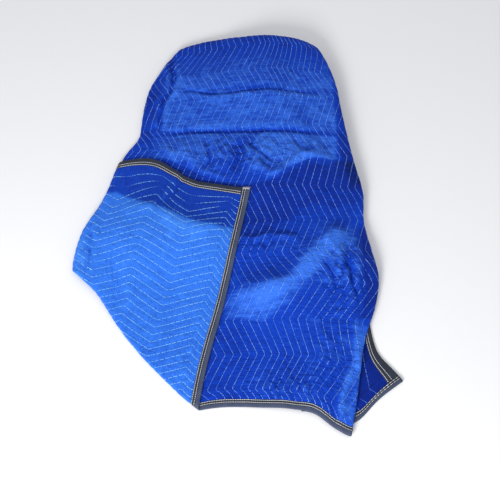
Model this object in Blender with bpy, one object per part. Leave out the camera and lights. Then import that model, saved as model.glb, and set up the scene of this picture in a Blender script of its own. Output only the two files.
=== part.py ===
"""Quilted moving blanket, laid on a floor and folded.

The cloth is drawn flat first, in u across and v up from its hem, and a short table of folds
then lays it down: one corner over the front, the right side back and forth as a pleat, the
left side and the top underneath. Metres, +Z up, origin under the middle of the folded blanket.
"""

import math

import bmesh
import bpy
import numpy as np

# size of the flat blanket
WIDTH = 1.83
LENGTH = 2.03

# where the flat blanket starts on the floor before it is folded
LEFT_EDGE_X = -0.968
HEM_Y = -0.578

# thickness of the cloth
PUFF_HALF = 0.0025
STITCH_HALF = 0.0015
EDGE_HALF = 0.0011
PRESSED_HALF = 0.0012
PINCHED_HALF = 0.0009
PRESSED_EDGE_HALF = 0.00035
PRESSED_TAPE = 0.62
LAYER_STEP = 0.0070
FLOOR_GAP = 0.0034

# quilting: zigzag rows; a puff here stands for two or three of the real one inch rows
COLUMN = 0.0304
QUILT_PITCH = 2 * COLUMN
HALF_WAVE = 0.1168
ZIGZAG = 0.025
ROW = HALF_WAVE / 2
HIDDEN_ROW = 0.100
SEEN_LENGTH = 1.50
CORNER_SEEN = 1.62

# woven tape round the edges
BAND = 0.025
BAND_SEAT = 0.026
TAPE = 0.0009
TAPE_GAP = 0.00145
TAPE_END_GAP = 0.0006

# how a fold turns and how upper layers settle over the edge of lower ones
FOLD_RADIUS = 0.005
EDGE_HOLD = 0.012
EDGE_FADE = 0.26

# the pleat's corner swings round a little, so that it shows beside the front
CORNER_SWING = math.radians(24)
CORNER_START = 1.545
CORNER_LEAN = 0.075
SWING_FULL = 0.25
SWING_END = 1.10

LEVELS = tuple(range(-9, 2))
LOWEST = LEVELS[0]

# the cloth is thinned where two of its bends cross, which no layer has more than this share of
CROSSED_SHARE = 0.52
# small distance in the flat cloth, for the direction that the folded cloth faces
NORMAL_REACH = 0.0006
# cuts along the bends: how near to a point of the grid they run through it, and how far they look
CUT_MERGE = 0.0012
CUT_INSET = 0.02
CUT_SLACK = 0.03

# each fold turns over what lies to the left of its line and takes up a bend's worth of cloth;
# "layers" says where each layer goes and how many layers lie inside it where it turns
FOLDS = (
    {"name": "front corner over", "through": (-0.152, -0.578), "heading": 129.2,
     "bend": 0.005, "steps": 2,
     "layers": {0: (1, 0)}},
    {"name": "right side under", "through": (0.370, 0.0), "heading": -90.0, "bend": 0.005, "steps": 2,
     "layers": {0: (-1, 0)}},
    {"name": "right side back out", "through": (0.208, -0.578), "heading": 94.0, "bend": 0.005, "steps": 2,
     "layers": {-1: (-2, 0)}},
    {"name": "left side under", "through": (-0.573, -0.151), "heading": 75.6, "bend": 0.008, "steps": 3,
     "layers": {0: (-3, 0), 1: (-4, 1)}},
    {"name": "left side back", "through": (0.230, 0.0), "heading": -90.0, "bend": 0.005, "steps": 2,
     "layers": {-3: (-4, 0)}},
    {"name": "top under", "through": (0.0, 0.862), "heading": 0.0, "bend": 0.016, "steps": 4,
     "layers": {-4: (-5, 0), -3: (-6, 1), -2: (-7, 2), -1: (-8, 3), 0: (-9, 4)}},
)

# share of the loose folds' height that a layer takes; lower layers lie flat
LIFT = {1: 1.0, 0: 1.0, -1: 0.25, -2: 0.12}
FLAP_SETTLE = 0.09
FLAP_LOFT = 0.25
FLAP_GAP = 0.003


def smooth(value):
    value = np.clip(value, 0.0, 1.0)
    return value * value * (3.0 - 2.0 * value)


def along(value, table, key, result):
    """Smooth curve through the rows of a table."""
    keys = np.array([row[key] for row in table])
    results = np.array([row[result] for row in table])
    slopes = np.gradient(results, keys)
    value = np.clip(value, keys[0], keys[-1])
    index = np.clip(np.searchsorted(keys, value) - 1, 0, len(keys) - 2)
    span = keys[index + 1] - keys[index]
    t = (value - keys[index]) / span
    start = (1 + 2 * t) * (1 - t) ** 2 * results[index] + t * (1 - t) ** 2 * span * slopes[index]
    end = t * t * (3 - 2 * t) * results[index + 1] - t * t * (1 - t) * span * slopes[index + 1]
    return start + end


def heading(fold):
    angle = math.radians(fold["heading"])
    return np.array([math.cos(angle), math.sin(angle)])


def left_normal(fold):
    direction = heading(fold)
    return np.array([-direction[1], direction[0]])


def swing_corner(u, v):
    """Flat cloth with its lower right corner swung inwards."""
    beyond = np.clip(u - CORNER_START - CORNER_LEAN * v, 0.0, None)
    fade = 1.0 - smooth((v - SWING_FULL) / (SWING_END - SWING_FULL))
    rate = CORNER_SWING / (WIDTH - CORNER_START) * fade
    return u - v * rate * beyond, v + rate * beyond ** 2 / 2


def fold_points(u, v):
    """Floor place of flat points, and how much of each layer they belong to."""
    u, v = swing_corner(u, v)
    x = LEFT_EDGE_X + u
    y = HEM_Y + v
    layer = np.zeros((len(LEVELS), len(x)))
    layer[-LOWEST] = 1.0
    for fold in FOLDS:
        normal = left_normal(fold)
        past = (x - fold["through"][0]) * normal[0] + (y - fold["through"][1]) * normal[1]
        taken = np.zeros(len(x))
        radius = np.full(len(x), FOLD_RADIUS)
        moved = layer.copy()
        for level, (target, rank) in fold["layers"].items():
            taken += layer[level - LOWEST]
            radius += layer[level - LOWEST] * LAYER_STEP * rank
        for level, (target, rank) in fold["layers"].items():
            moved[level - LOWEST] -= layer[level - LOWEST]
            moved[target - LOWEST] += layer[level - LOWEST]
        folds = (past > 0) & (taken > 0.5)
        angle = np.where(folds, np.clip(past / fold["bend"], 0.0, math.pi), 0.0)
        rest = past - math.pi * fold["bend"]
        place = np.where(rest > 0, -rest, radius * np.sin(angle))
        shift = np.where(folds, place - past, 0.0)
        x = x + shift * normal[0]
        y = y + shift * normal[1]
        kept = (1.0 + np.cos(angle)) / 2.0
        layer = kept * layer + (1.0 - kept) * moved
    return x, y, layer


def clip_polygon(points, origin, normal):
    """Part of a convex polygon on the side that the normal points to."""
    kept = []
    for index, point in enumerate(points):
        following = points[(index + 1) % len(points)]
        here = float(np.dot(point - origin, normal))
        there = float(np.dot(following - origin, normal))
        if here >= 0:
            kept.append(point)
        if (here > 0) != (there > 0) and here != there:
            kept.append(point + (following - point) * here / (here - there))
    return kept


def facets_and_cuts():
    """Flat pieces between the folds with their final layer and place, and where cloth bends."""
    flat = [np.array(p) for p in ((0.0, 0.0), (WIDTH, 0.0), (WIDTH, LENGTH), (0.0, LENGTH))]
    facets = [{"flat": flat, "turn": np.eye(2), "move": np.array([LEFT_EDGE_X, HEM_Y]), "level": 0}]
    cuts = []
    for fold in FOLDS:
        normal = left_normal(fold)
        through = np.array(fold["through"])
        after = []
        for facet in facets:
            if facet["level"] not in fold["layers"]:
                after.append(facet)
                continue
            target = fold["layers"][facet["level"]][0]
            arc = math.pi * fold["bend"]
            back = facet["turn"].T
            flat_normal = back @ normal
            flat_start = back @ (through - facet["move"])
            beyond = clip_polygon(facet["flat"], flat_start + arc * flat_normal, flat_normal)
            stays = clip_polygon(facet["flat"], flat_start, -flat_normal)
            if len(clip_polygon(facet["flat"], flat_start, flat_normal)) > 2:
                for step in range(fold["steps"] + 1):
                    cut_at = flat_start + step / fold["steps"] * arc * flat_normal
                    cuts.append((facet["flat"], cut_at, flat_normal))
            if len(stays) > 2:
                after.append({**facet, "flat": stays})
            if len(beyond) > 2:
                mirror = np.eye(2) - 2.0 * np.outer(normal, normal)
                move = mirror @ (facet["move"] - through) + through + arc * normal
                after.append({"flat": beyond, "turn": mirror @ facet["turn"], "move": move,
                              "level": target})
        facets = after
    for facet in facets:
        facet["floor"] = [facet["turn"] @ point + facet["move"] for point in facet["flat"]]
    return facets, cuts


FACETS, CUTS = facets_and_cuts()


def outside_of(x, y, level):
    """Distance outside a layer's nearest piece, negative inside it."""
    least = np.full(len(x), 10.0)
    for facet in FACETS:
        if facet["level"] != level:
            continue
        corners = facet["floor"]
        centre = sum(corners) / len(corners)
        outside = np.full(len(x), -10.0)
        for index, corner in enumerate(corners):
            edge = corners[(index + 1) % len(corners)] - corner
            size = math.hypot(edge[0], edge[1])
            if size < 1e-6:
                continue
            normal = np.array([edge[1], -edge[0]]) / size
            if np.dot(centre - corner, normal) > 0:
                normal = -normal
            outside = np.maximum(outside, (x - corner[0]) * normal[0] + (y - corner[1]) * normal[1])
        least = np.minimum(least, outside)
    return least


def cover(x, y, level):
    """1 where a layer lies, fading out beyond its edge."""
    return 1.0 - smooth((outside_of(x, y, level) - EDGE_HOLD) / EDGE_FADE)


def under_flap(x, y):
    """0 at the edge of the corner that is folded over the front, 1 well under it."""
    return smooth(-outside_of(x, y, 1) / FLAP_SETTLE)


# loose folds that stand up from the laid blanket: a soft ridge from start to end, which falls to
# half its height at its width from that line and to nothing at twice its width
RIDGES = (
    {"name": "upper dome", "start": (-0.12, 0.64), "end": (0.08, 0.64), "width": 0.100, "height": 0.022},
    {"name": "upper band", "start": (-0.20, 0.49), "end": (0.16, 0.49), "width": 0.060, "height": 0.012},
    {"name": "upper bunch", "start": (-0.22, 0.370), "end": (0.20, 0.350), "width": 0.060, "height": 0.022},
    {"name": "lower bunch", "start": (0.06, 0.225), "end": (0.24, 0.265), "width": 0.055, "height": 0.018},
    {"name": "front ridge", "start": (0.10, -0.16), "end": (0.26, -0.04), "width": 0.095, "height": 0.036},
    {"name": "right streak", "start": (0.31, -0.06), "end": (0.31, -0.22), "width": 0.040, "height": 0.014},
    {"name": "flap ridge", "start": (-0.34, 0.05), "end": (-0.16, 0.030), "width": 0.100, "height": 0.030},
)


def ridge_height(x, y):
    total = np.zeros(len(x))
    for ridge in RIDGES:
        start = np.array(ridge["start"])
        run = np.array(ridge["end"]) - start
        share = ((x - start[0]) * run[0] + (y - start[1]) * run[1]) / np.dot(run, run)
        share = np.clip(share, 0.0, 1.0)
        away = np.hypot(x - start[0] - share * run[0], y - start[1] - share * run[1])
        total += ridge["height"] * (1.0 - smooth(away / (2.0 * ridge["width"])))
    return total


# outline of the laid blanket against the straight folds: outward shifts at places along them
RIGHT_SIDE = (
    {"y": -0.62, "out": -0.073},
    {"y": -0.45, "out": -0.035},
    {"y": -0.33, "out": -0.008},
    {"y": -0.20, "out": 0.040},
    {"y": -0.12, "out": 0.052},
    {"y": -0.02, "out": 0.034},
    {"y": 0.10, "out": 0.014},
    {"y": 0.20, "out": 0.016},
    {"y": 0.32, "out": -0.008},
    {"y": 0.45, "out": -0.032},
    {"y": 0.67, "out": -0.060},
    {"y": 0.92, "out": -0.080},
)
LEFT_SIDE = (
    {"y": -0.20, "out": -0.026},
    {"y": -0.15, "out": -0.020},
    {"y": -0.07, "out": 0.016},
    {"y": 0.06, "out": 0.036},
    {"y": 0.18, "out": 0.010},
    {"y": 0.33, "out": 0.002},
    {"y": 0.43, "out": -0.026},
    {"y": 0.56, "out": -0.008},
    {"y": 0.72, "out": 0.006},
    {"y": 0.92, "out": 0.000},
)
HEM_LINE = (
    {"x": -0.20, "down": 0.000},
    {"x": -0.10, "down": -0.018},
    {"x": 0.05, "down": -0.016},
    {"x": 0.17, "down": -0.008},
    {"x": 0.26, "down": 0.008},
    {"x": 0.33, "down": 0.055},
    {"x": 0.38, "down": 0.078},
    {"x": 0.46, "down": 0.030},
    {"x": 0.54, "down": 0.000},
)
FRONT_CREASE = (
    {"far": 0.00, "out": 0.000},
    {"far": 0.10, "out": 0.012},
    {"far": 0.30, "out": 0.030},
    {"far": 0.45, "out": 0.034},
    {"far": 0.56, "out": 0.026},
    {"far": 0.70, "out": 0.010},
)
# places where the outline is pulled aside by hand: centre, how far the pull reaches, the pull
PULLS = (
    {"name": "flap top edge", "x": -0.37, "y": 0.290, "reach": 0.20, "along_x": 0.020, "along_y": 0.062},
    {"name": "pleat corner", "x": 0.51, "y": -0.480, "reach": 0.16, "along_x": 0.040, "along_y": 0.020},
)
RIGHT_REACH = 0.42
LEFT_REACH = 0.34
HEM_REACH = 0.38
CREASE_REACH = 0.30
CORNER_ROUND = 0.24
CORNER_CUT = 0.30
CORNER_LIMIT = 1.2
TOP_LEFT_X = -0.312


def settle(x, y):
    """Outline of the laid cloth: bulges, a drooping hem and round top corners."""
    corner, right, _, left, _, top = FOLDS
    to_right = right["through"][0] - x
    right_push = along(y, RIGHT_SIDE, "y", "out") * smooth(1.0 - to_right / RIGHT_REACH)
    side = left_normal(left)
    to_left = -((x - left["through"][0]) * side[0] + (y - left["through"][1]) * side[1])
    left_push = along(y, LEFT_SIDE, "y", "out") * smooth(1.0 - to_left / LEFT_REACH)
    hem_push = along(x, HEM_LINE, "x", "down") * smooth(1.0 - (y - HEM_Y) / HEM_REACH)
    front = left_normal(corner)
    line = heading(corner)
    across = -((x - corner["through"][0]) * front[0] + (y - corner["through"][1]) * front[1])
    far = (x - corner["through"][0]) * line[0] + (y - corner["through"][1]) * line[1]
    front_push = along(far, FRONT_CREASE, "far", "out") * smooth(1.0 - across / CREASE_REACH)
    x = x + right_push - left_push + front_push * front[0]
    y = y - hem_push + front_push * front[1]
    pull_x = np.zeros(len(x))
    pull_y = np.zeros(len(x))
    for pull in PULLS:
        share = 1.0 - smooth(np.hypot(x - pull["x"], y - pull["y"]) / pull["reach"])
        pull_x += pull["along_x"] * share
        pull_y += pull["along_y"] * share
    x = x + pull_x
    y = y + pull_y
    top_y = top["through"][1]
    for sign, side_x in ((1.0, right["through"][0] + RIGHT_SIDE[-1]["out"]), (-1.0, TOP_LEFT_X)):
        a = np.clip((sign * (x - side_x) + CORNER_ROUND) / CORNER_ROUND, 0.0, CORNER_LIMIT)
        b = np.clip((y - top_y + CORNER_ROUND) / CORNER_ROUND, 0.0, CORNER_LIMIT)
        x = x - sign * CORNER_ROUND * a * (1.0 - np.sqrt(1.0 - CORNER_CUT * b * b))
        y = y - CORNER_ROUND * b * (1.0 - np.sqrt(1.0 - CORNER_CUT * a * a))
    return x, y


def middle(u, v):
    """Middle surface of the folded cloth at flat points."""
    x, y, layer = fold_points(u, v)
    height = np.zeros(len(x))
    base = np.full(len(x), FLOOR_GAP)
    lift = np.zeros(len(x))
    for index, level in enumerate(LEVELS):
        height += layer[index] * (base + (FLAP_GAP if level == 1 else 0.0))
        share = LIFT.get(level, 0.0)
        if level == 0:
            share = share - FLAP_LOFT * under_flap(x, y)
        lift += layer[index] * share
        base = base + LAYER_STEP * cover(x, y, level)
    height += lift * ridge_height(x, y)
    x, y = settle(x, y)
    return np.stack([x, y, height], axis=1)


def place(u, v, w):
    """Points at w off the middle surface, w towards the face."""
    across = middle(u + NORMAL_REACH, v) - middle(u - NORMAL_REACH, v)
    up = middle(u, v + NORMAL_REACH) - middle(u, v - NORMAL_REACH)
    normal = np.cross(across, up)
    normal /= np.linalg.norm(normal, axis=1)[:, None]
    return middle(u, v) + w[:, None] * normal


def zigzag(v):
    wave = v / HALF_WAVE
    step = np.floor(wave)
    rise = wave - step
    return ZIGZAG * np.where(step % 2 == 0, 2 * rise - 1, 1 - 2 * rise)


def zigzag_share(u, v):
    """Zigzag of a column, straightened out next to the tape."""
    from_side = np.minimum(u - BAND_SEAT, WIDTH - BAND_SEAT - u)
    from_end = np.minimum(v - BAND_SEAT, LENGTH - BAND_SEAT - v)
    return np.clip(from_side / (3 * COLUMN), 0, 1) * np.clip(from_end / ROW, 0, 1)


def spaced(start, end, step):
    count = max(1, round((end - start) / step))
    return [start + (end - start) * i / count for i in range(count)]


def grid_columns():
    return [0.0] + spaced(BAND_SEAT, WIDTH - BAND_SEAT, COLUMN) + [WIDTH - BAND_SEAT, WIDTH]


def every_other(columns):
    """Columns of the part that lies underneath, where half as many will do."""
    last = len(columns) - 1
    return [0] + list(range(1, last - 1, 2)) + [last - 1, last]


def grid_rows():
    rows = [0.0, BAND_SEAT]
    rows += spaced(ROW, ROW * round(SEEN_LENGTH / ROW), ROW)
    rows += spaced(ROW * round(SEEN_LENGTH / ROW), LENGTH - BAND_SEAT, HIDDEN_ROW)
    return rows + [LENGTH - BAND_SEAT, LENGTH]


def half_thickness(u, v, puff):
    """Puffs between the stitched rows, flat under the tape and under other layers."""
    from_edge = np.minimum(np.minimum(u, WIDTH - u), np.minimum(v, LENGTH - v))
    puffed = STITCH_HALF + (PUFF_HALF - STITCH_HALF) * puff
    flattened, pinched = pressed(u, v)
    puffed = np.where(flattened, PRESSED_HALF, puffed)
    puffed = np.where(pinched, PINCHED_HALF, puffed)
    taped = np.where(flattened, PRESSED_EDGE_HALF, EDGE_HALF)
    return np.where(from_edge <= BAND_SEAT + 1e-6, taped, puffed)


def pressed(u, v):
    """Where other layers lie on the cloth, and where two of its bends cross."""
    x, y, layer = fold_points(u, v)
    pinched = (layer ** 2).sum(axis=0) < CROSSED_SHARE
    below = layer[:-LOWEST].sum(axis=0) > 0.5
    corner = (u > CORNER_SEEN) & (v < SWING_FULL)
    covered = (layer[-LOWEST] > 0.5) & (outside_of(x, y, 1) < -BAND)
    return (below & ~corner) | covered, pinched


def cut_at_folds(shape):
    """Cut a flat shape where its cloth bends, so that it can turn there."""
    for polygon, origin, normal in CUTS:
        centre = sum(polygon) / len(polygon)
        inside = []
        for face in shape.faces:
            middle_point = face.calc_center_median()
            spot = np.array([middle_point.x, middle_point.y])
            spot = spot + (centre - spot) * CUT_INSET
            held = True
            for index, corner in enumerate(polygon):
                edge = polygon[(index + 1) % len(polygon)] - corner
                towards = np.array([-edge[1], edge[0]])
                if np.dot(centre - corner, towards) < 0:
                    towards = -towards
                if np.dot(spot - corner, towards) < -CUT_SLACK * np.linalg.norm(towards):
                    held = False
            if held:
                inside.append(face)
        edges = {edge for face in inside for edge in face.edges}
        verts = {vert for face in inside for vert in face.verts}
        bmesh.ops.bisect_plane(shape, geom=list(inside) + list(edges) + list(verts), dist=CUT_MERGE,
                               plane_co=(origin[0], origin[1], 0.0),
                               plane_no=(normal[0], normal[1], 0.0))


def cloth_mesh():
    """The quilted panel: a flat grid along the zigzag, folded, with a face and a reverse."""
    shape = bmesh.new()
    columns = grid_columns()
    rows = grid_rows()
    grid = []
    for v in rows:
        line = []
        for u in columns:
            share = float(zigzag_share(np.array([u]), np.array([v]))[0])
            line.append(shape.verts.new((u + float(zigzag(np.array([v]))[0]) * share, v, 0.0)))
        grid.append(line)
    everywhere = list(range(len(columns)))
    fewer = every_other(columns)
    for row, (lower, upper) in enumerate(zip(grid, grid[1:])):
        below = everywhere if rows[row] < SEEN_LENGTH else fewer
        above = everywhere if rows[row + 1] < SEEN_LENGTH else fewer
        for start, end in zip(above, above[1:]):
            bottom = [lower[index] for index in below if start <= index <= end]
            shape.faces.new(bottom + [upper[end], upper[start]])
    bmesh.ops.delete(shape, geom=[vert for vert in shape.verts if not vert.link_faces], context="VERTS")
    cut_at_folds(shape)
    bmesh.ops.triangulate(shape, faces=shape.faces[:])
    shape.verts.index_update()
    flat = np.array([vert.co[:2] for vert in shape.verts])
    u = flat[:, 0]
    v = flat[:, 1]
    wave = (u - zigzag(v) * zigzag_share(u, v) - BAND_SEAT) / QUILT_PITCH
    puff = 1.0 - np.abs(2.0 * (wave - np.floor(wave)) - 1.0)
    half = half_thickness(u, v, puff)
    face_side = place(u, v, half)
    reverse_side = place(u, v, -half)
    count = len(u)
    triangles = [[vert.index for vert in face.verts] for face in shape.faces]
    faces = [tri for tri in triangles]
    faces += [[index + count for index in reversed(tri)] for tri in triangles]
    for edge in shape.edges:
        if len(edge.link_faces) == 1:
            loop = edge.link_loops[0]
            start = loop.vert.index
            end = loop.link_loop_next.vert.index
            faces.append([start, start + count, end + count])
            faces.append([start, end + count, end])
    shape.free()
    return np.concatenate([face_side, reverse_side]), faces


def tape_mesh(edge, stations):
    """A tape folded round one edge; its section is a U that is closed by its own thickness."""
    inner = EDGE_HALF + TAPE_GAP
    outer = inner + TAPE
    section = ((BAND, inner), (BAND, outer), (-TAPE - TAPE_GAP, outer), (-TAPE - TAPE_GAP, -outer),
               (BAND, -outer), (BAND, -inner), (-TAPE_GAP, -inner), (-TAPE_GAP, inner))
    shape = bmesh.new()
    rings = []
    for station in stations:
        ring = []
        for depth, off in section:
            if edge == "hem":
                spot = (station, depth, off)
            elif edge == "top":
                spot = (station, LENGTH - depth, off)
            elif edge == "left":
                spot = (depth, station, off)
            else:
                spot = (WIDTH - depth, station, off)
            ring.append(shape.verts.new(spot))
        rings.append(ring)
    size = len(section)
    for first, second in zip(rings, rings[1:]):
        for index in range(size):
            after = (index + 1) % size
            shape.faces.new((first[index], first[after], second[after], second[index]))
    for ring in (rings[0], rings[-1]):
        for quad in ((0, 1, 2, 7), (7, 2, 3, 6), (6, 3, 4, 5)):
            shape.faces.new([ring[index] for index in quad])
    bmesh.ops.recalc_face_normals(shape, faces=shape.faces[:])
    cut_at_folds(shape)
    bmesh.ops.triangulate(shape, faces=shape.faces[:])
    shape.verts.index_update()
    spots = np.array([vert.co[:] for vert in shape.verts])
    flattened = pressed(spots[:, 0], spots[:, 1])[0]
    off = np.where(flattened, PRESSED_TAPE, 1.0) * spots[:, 2]
    points = place(spots[:, 0], spots[:, 1], off)
    faces = [[vert.index for vert in face.verts] for face in shape.faces]
    shape.free()
    return points, faces


def material(name, colour, roughness):
    made = bpy.data.materials.new(name)
    made.use_nodes = True
    shader = made.node_tree.nodes["Principled BSDF"]
    shader.inputs["Base Color"].default_value = (*colour, 1.0)
    shader.inputs["Roughness"].default_value = roughness
    shader.inputs["Metallic"].default_value = 0.0
    return made


def add_object(name, points, faces, finish):
    mesh = bpy.data.meshes.new(name)
    mesh.from_pydata([tuple(point) for point in points.tolist()], [], faces)
    mesh.update()
    mesh.materials.append(finish)
    made = bpy.data.objects.new(name, mesh)
    bpy.context.scene.collection.objects.link(made)
    return made


def build():
    for old in list(bpy.data.objects):
        bpy.data.objects.remove(old, do_unlink=True)
    quilt = material("quilted_cloth", (0.02, 0.10, 0.50), 0.85)
    tape = material("binding_tape", (0.03, 0.04, 0.08), 0.80)
    columns = grid_columns()
    rows = grid_rows()
    over = TAPE + TAPE_GAP
    full = [-over] + columns + [WIDTH + over]
    between = [BAND + TAPE_END_GAP] + rows[2:-2] + [LENGTH - BAND - TAPE_END_GAP]
    shapes = {"quilted_panel": cloth_mesh()}
    shapes["binding_hem"] = tape_mesh("hem", full)
    fewer = [-over] + [columns[index] for index in every_other(columns)] + [WIDTH + over]
    shapes["binding_top"] = tape_mesh("top", fewer)
    shapes["binding_left"] = tape_mesh("left", between)
    shapes["binding_right"] = tape_mesh("right", between)
    everything = np.concatenate([points for points, _ in shapes.values()])
    low = everything.min(axis=0)
    high = everything.max(axis=0)
    origin = np.array([(low[0] + high[0]) / 2, (low[1] + high[1]) / 2, low[2]])
    for name, (points, faces) in shapes.items():
        finish = quilt if name == "quilted_panel" else tape
        add_object(name, points - origin, faces, finish)
    return origin


build()
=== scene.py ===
import math

import bmesh
import bpy
import numpy as np
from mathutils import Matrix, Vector


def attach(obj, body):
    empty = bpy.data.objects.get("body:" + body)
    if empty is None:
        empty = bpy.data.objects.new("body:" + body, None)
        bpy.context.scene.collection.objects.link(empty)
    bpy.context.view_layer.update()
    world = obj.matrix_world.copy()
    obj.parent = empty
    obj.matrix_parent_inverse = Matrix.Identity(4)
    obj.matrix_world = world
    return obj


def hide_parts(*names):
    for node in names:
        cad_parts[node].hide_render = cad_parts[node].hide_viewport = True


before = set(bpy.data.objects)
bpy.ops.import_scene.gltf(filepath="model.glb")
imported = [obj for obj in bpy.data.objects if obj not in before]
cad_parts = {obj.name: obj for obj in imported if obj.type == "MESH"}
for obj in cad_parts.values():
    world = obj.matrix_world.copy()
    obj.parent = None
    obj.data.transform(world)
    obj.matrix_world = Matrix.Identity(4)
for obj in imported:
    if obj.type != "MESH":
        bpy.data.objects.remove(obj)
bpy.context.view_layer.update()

# The blanket is laid out flat first: u runs across it, v up from its hem, both in metres.
# The same folds as in the solids then lay it down, and the finer creases come on top.
cloth = {
    "width": 1.83,
    "length": 2.03,
    "leftEdgeX": -0.968,      # where the flat blanket starts before it is folded
    "hemY": -0.578,
    "middle": (-0.05266, 0.11870, -0.00005),   # what lies at the solids' origin
    "layerStep": 0.0070,      # one layer of cloth and the air above it
    "floorGap": 0.0034,
    "foldRadius": 0.005,
    "flapGap": 0.003,
    "flapLoft": 0.25,
    "flapSettle": 0.09,
    "edgeHold": 0.012,        # how upper layers settle over the edge of lower ones
    "edgeFade": 0.26,
    "puffHalf": 0.0026,       # half thickness between the sewn rows, on them, and at the edge
    "stitchHalf": 0.0014,
    "edgeHalf": 0.0011,
    "pressedHalf": 0.0012,
    "bandSeat": 0.026,
    "room": 0.0015,           # how far a layer may sink towards the one beneath
    "crumpleLoft": 0.0030,    # how far crumpled places stand off it
    "ridgeRoom": 0.7,         # share of a soft fold's height that a trough may use
    "flapRoom": 0.0015,
    "flapRidgeRoom": 0.2,
    "besideFlap": (0.015, 0.06),   # where the top layer's creases fade under the turned corner
    "puffShape": 2.2,
    "pressedPuff": 0.0003,
    "backCorner": 1.62,       # from here across, the corner that shows behind isn't pressed flat
    "coveredFrom": 0.025,
    "smoothPlace": 0.30,      # bumps of the material where the cloth isn't crumpled
}

quilting = {
    "pitch": 0.0254,          # from one sewn row to the next
    "halfWave": 0.1234,       # from one corner of the zigzag to the next
    "phase": 0.0626,
    "reach": 0.028,           # how far a corner stands out sideways
    "columns": (0.0, 0.33, 0.67),              # places of the mesh's columns in a row
    "fineColumns": (0.0, 0.2, 0.4, 0.6, 0.8),
    "fineRows": (range(22, 27), range(45, 54)),
    "linesPerHalfWave": 10,
    "fineLines": ((0.565, 0.665), (0.80, 1.07), (1.165, 1.245)),   # doubled where creases run across
    "hiddenStep": 0.040,
    "seenLength": 1.50,
    "straighten": 0.075,      # the zigzag runs out to nothing next to the tape
    "straightenEnds": 0.03,
}

cornerSwing = {"turn": math.radians(24), "start": 1.545, "lean": 0.075, "full": 0.25, "end": 1.10}

levels = tuple(range(-9, 2))
lowest = levels[0]
lift = {1: 1.0, 0: 1.0, -1: 0.25, -2: 0.12}

# each fold turns over what lies left of its line; layers maps a layer to its new place and rank
folds = {
    "front corner over": {"through": (-0.152, -0.578), "heading": 129.2,
        "bend": 0.005, "steps": 3, "layers": {0: (1, 0)}},
    "right side under": {"through": (0.370, 0.0), "heading": -90.0,
        "bend": 0.005, "steps": 3, "layers": {0: (-1, 0)}},
    "right side back out": {"through": (0.208, -0.578), "heading": 94.0,
        "bend": 0.005, "steps": 2, "layers": {-1: (-2, 0)}},
    "left side under": {"through": (-0.573, -0.151), "heading": 75.6,
        "bend": 0.008, "steps": 3, "layers": {0: (-3, 0), 1: (-4, 1)}},
    "left side back": {"through": (0.230, 0.0), "heading": -90.0,
        "bend": 0.005, "steps": 2, "layers": {-3: (-4, 0)}},
    "top under": {"through": (0.0, 0.862), "heading": 0.0, "bend": 0.016, "steps": 5,
     "layers": {-4: (-5, 0), -3: (-6, 1), -2: (-7, 2), -1: (-8, 3), 0: (-9, 4)}},
}

# the big soft folds that the solids have too
ridges = {
    "upper dome": {"start": (-0.12, 0.64), "end": (0.08, 0.64), "width": 0.100, "height": 0.022},
    "upper band": {"start": (-0.20, 0.49), "end": (0.16, 0.49), "width": 0.060, "height": 0.012},
    "upper bunch": {"start": (-0.22, 0.370), "end": (0.20, 0.350), "width": 0.060, "height": 0.022},
    "lower bunch": {"start": (0.06, 0.225), "end": (0.24, 0.265), "width": 0.055, "height": 0.018},
    "front ridge": {"start": (0.10, -0.16), "end": (0.26, -0.04), "width": 0.095, "height": 0.036},
    "right streak": {"start": (0.31, -0.06), "end": (0.31, -0.22), "width": 0.040, "height": 0.014},
    "flap ridge": {"start": (-0.34, 0.05), "end": (-0.16, 0.030), "width": 0.100, "height": 0.030},
}

# how the outline departs from the straight folds
pulls = {
    "flap top edge": {"x": -0.37, "y": 0.290, "reach": 0.20, "alongX": 0.020, "alongY": 0.062},
    "pleat corner": {"x": 0.51, "y": -0.480, "reach": 0.16, "alongX": 0.040, "alongY": 0.020},
}
outline = {
    # outward shifts of the edges: place along the edge, and how far out
    "rightSide": (
        (-0.62, -0.073), (-0.45, -0.035), (-0.33, -0.008), (-0.20, 0.040),
        (-0.12, 0.052), (-0.02, 0.034), (0.10, 0.014), (0.20, 0.016),
        (0.32, -0.008), (0.45, -0.032), (0.67, -0.060), (0.92, -0.080),
    ),
    "leftSide": (
        (-0.20, -0.026), (-0.15, -0.020), (-0.07, 0.016), (0.06, 0.036),
        (0.18, 0.010), (0.33, 0.002), (0.43, -0.026), (0.56, -0.008),
        (0.72, 0.006), (0.92, 0.000),
    ),
    "hemLine": (
        (-0.20, 0.000), (-0.10, -0.018), (0.05, -0.016), (0.17, -0.008),
        (0.26, 0.008), (0.33, 0.055), (0.38, 0.078), (0.46, 0.030),
        (0.54, 0.000),
    ),
    "frontCrease": (
        (0.00, 0.000), (0.10, 0.012), (0.30, 0.030), (0.45, 0.034),
        (0.56, 0.026), (0.70, 0.010),
    ),
    "rightReach": 0.42,
    "leftReach": 0.34,
    "hemReach": 0.38,
    "creaseReach": 0.30,
    "cornerRound": 0.24,
    "cornerCut": 0.30,
    "cornerLimit": 1.2,
    "topLeftX": -0.312,
}


def smooth(value):
    value = np.clip(value, 0.0, 1.0)
    return value * value * (3.0 - 2.0 * value)


def along(value, pairs):
    # a smooth curve through pairs of place and result
    keys = np.array([place for place, _ in pairs])
    results = np.array([result for _, result in pairs])
    slopes = np.gradient(results, keys)
    value = np.clip(value, keys[0], keys[-1])
    index = np.clip(np.searchsorted(keys, value) - 1, 0, len(keys) - 2)
    span = keys[index + 1] - keys[index]
    t = (value - keys[index]) / span
    start = (1 + 2 * t) * (1 - t) ** 2 * results[index] + t * (1 - t) ** 2 * span * slopes[index]
    end = t * t * (3 - 2 * t) * results[index + 1] - t * t * (1 - t) * span * slopes[index + 1]
    return start + end


def headingOf(fold):
    angle = math.radians(fold["heading"])
    return np.array([math.cos(angle), math.sin(angle)])


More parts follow.
